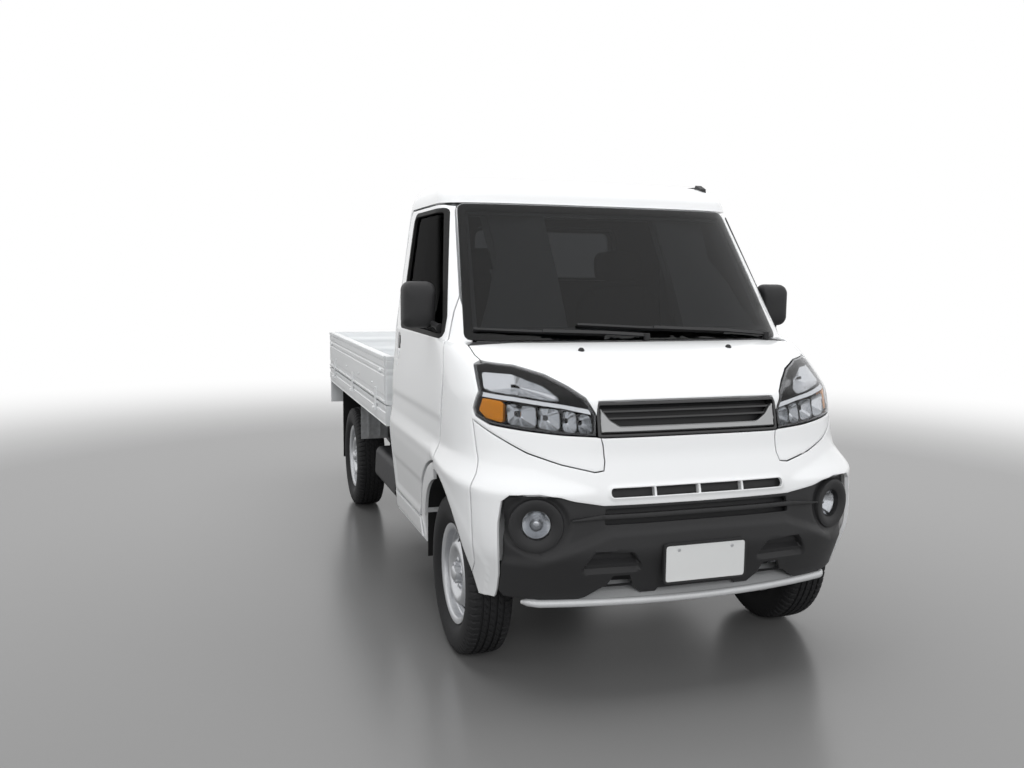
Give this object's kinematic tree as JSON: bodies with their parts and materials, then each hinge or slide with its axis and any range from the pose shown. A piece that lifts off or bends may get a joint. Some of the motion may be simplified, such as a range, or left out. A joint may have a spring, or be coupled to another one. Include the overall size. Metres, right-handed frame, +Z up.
{
  "type": "kei truck",
  "caption": "Small light truck: a cab with a short sloping bonnet and hinged doors, steered front wheels, and a flat bed with drop sides and a tailgate.",
  "frame": {"origin": "on the ground under the middle of the truck's length and width", "axes": "+X forward, +Y to the truck's left, +Z up"},
  "size_m": [3.69, 1.71, 1.818],
  "materials": {
    "paint_white": "gloss",
    "bed_paint": "satin",
    "chassis_black": "satin",
    "trim_black": "fine grain",
    "grille_black": "gloss",
    "dash_grey": "grained",
    "plate_white": "satin",
    "bright_steel": "satin",
    "radiator_alloy": "matt",
    "spring_steel": "matt",
    "exhaust_steel": "dull",
    "engine_cast": "matt",
    "wheel_silver": "satin silver",
    "tyre_black": "matt",
    "rubber_black": "matt",
    "seat_cloth": "woven cloth",
    "lamp_housing": "bright",
    "lamp_clear": "clear",
    "lamp_red": "gloss",
    "glass_screen": "smoky tint",
    "glass_side": "dark tint"
  },
  "bodies": {
    "chassis": {"frame": "chassis_black", "cab_shell": "paint_white", "cab_roof": "paint_white", "windshield": "glass_screen", "rear_window": "glass_side", "cowl_strip": "trim_black", "front_carrier": "chassis_black", "front_bumper": "paint_white", "bumper_grille": "trim_black", "grille": "grille_black", "fog_lamps": "lamp_clear", "skid_bar": "bright_steel", "number_plate": "plate_white", "wiper_left": "trim_black", "wiper_right": "trim_black", "antenna": "trim_black", "radiator": "radiator_alloy", "dashboard": "dash_grey", "rear_axle": "chassis_black", "leaf_springs": "spring_steel", "front_suspension": "chassis_black", "fuel_tank": "chassis_black", "exhaust": "exhaust_steel", "bed": "bed_paint", "headboard": "bed_paint", "wheel_guards": "bright_steel", "mud_flaps": "rubber_black", "tail_lamps": "lamp_red", "engine": "engine_cast", "fender_left": "paint_white", "fender_right": "paint_white", "headlamp_left": "lamp_housing", "headlamp_right": "lamp_housing", "headlamp_lens_left": "lamp_clear", "headlamp_lens_right": "lamp_clear", "seat_left": "seat_cloth", "seat_right": "seat_cloth"},
    "bonnet": {"bonnet": "paint_white"},
    "door_left": {"door_left": "paint_white", "door_glass_left": "glass_side", "mirror_left": "trim_black"},
    "door_right": {"door_right": "paint_white", "door_glass_right": "glass_side", "mirror_right": "trim_black"},
    "dropside_left": {"dropside_left": "bed_paint"},
    "dropside_right": {"dropside_right": "bed_paint"},
    "tailgate": {"tailgate": "bed_paint"},
    "knuckle_left": {"knuckle_left": "engine_cast"},
    "knuckle_right": {"knuckle_right": "engine_cast"},
    "wheel_front_left": {"rim_front_left": "wheel_silver", "tyre_front_left": "tyre_black"},
    "wheel_front_right": {"rim_front_right": "wheel_silver", "tyre_front_right": "tyre_black"},
    "wheel_rear_left": {"rim_rear_left": "wheel_silver", "tyre_rear_left": "tyre_black"},
    "wheel_rear_right": {"rim_rear_right": "wheel_silver", "tyre_rear_right": "tyre_black"},
    "steering_wheel": {"steering_wheel": "dash_grey"}
  },
  "joints": [
    {"name": "bonnet_hinge", "type": "hinge", "parent": "chassis", "child": "bonnet", "pos_m": [1.255, 0, 1.158], "axis": [0, -1, 0], "range_deg": [0, 45]},
    {"name": "door_left_hinge", "type": "hinge", "parent": "chassis", "child": "door_left", "pos_m": [1.253, 0.772, 0.7], "axis": [0, 0.0373, -0.9993], "range_deg": [0, 70]},
    {"name": "door_right_hinge", "type": "hinge", "parent": "chassis", "child": "door_right", "pos_m": [1.253, -0.772, 0.7], "axis": [0, 0.0373, 0.9993], "range_deg": [0, 70]},
    {"name": "dropside_left_hinge", "type": "hinge", "parent": "chassis", "child": "dropside_left", "pos_m": [-0.81, 0.778, 0.745], "axis": [-1, 0, 0], "range_deg": [0, 180]},
    {"name": "dropside_right_hinge", "type": "hinge", "parent": "chassis", "child": "dropside_right", "pos_m": [-0.81, -0.778, 0.745], "axis": [1, 0, 0], "range_deg": [0, 180]},
    {"name": "tailgate_hinge", "type": "hinge", "parent": "chassis", "child": "tailgate", "pos_m": [-1.828, 0, 0.745], "axis": [0, -1, 0], "range_deg": [0, 180]},
    {"name": "knuckle_left_steer", "type": "hinge", "parent": "chassis", "child": "knuckle_left", "pos_m": [1.245, 0.605, 0.2], "axis": [0, -0.1781, 0.984], "range_deg": [-35, 35]},
    {"name": "knuckle_right_steer", "type": "hinge", "parent": "chassis", "child": "knuckle_right", "pos_m": [1.245, -0.605, 0.2], "axis": [0, 0.1781, 0.984], "range_deg": [-35, 35]},
    {"name": "wheel_front_left_spin", "type": "hinge", "parent": "knuckle_left", "child": "wheel_front_left", "pos_m": [1.245, 0.65, 0.298], "axis": [0, 1, 0], "continuous": true},
    {"name": "wheel_front_right_spin", "type": "hinge", "parent": "knuckle_right", "child": "wheel_front_right", "pos_m": [1.245, -0.65, 0.298], "axis": [0, 1, 0], "continuous": true},
    {"name": "wheel_rear_left_spin", "type": "hinge", "parent": "chassis", "child": "wheel_rear_left", "pos_m": [-1.145, 0.65, 0.298], "axis": [0, 1, 0], "continuous": true},
    {"name": "wheel_rear_right_spin", "type": "hinge", "parent": "chassis", "child": "wheel_rear_right", "pos_m": [-1.145, -0.65, 0.298], "axis": [0, 1, 0], "continuous": true},
    {"name": "steering_wheel_turn", "type": "hinge", "parent": "chassis", "child": "steering_wheel", "pos_m": [0.885, 0.33, 1.04], "axis": [-0.6429, 0, 0.7659], "range_deg": [-490, 490]}
  ],
  "couplings": [
    {"joint": "knuckle_right_steer", "follows": "knuckle_left_steer", "ratio": 1},
    {"joint": "steering_wheel_turn", "follows": "knuckle_left_steer", "ratio": 14}
  ]
}
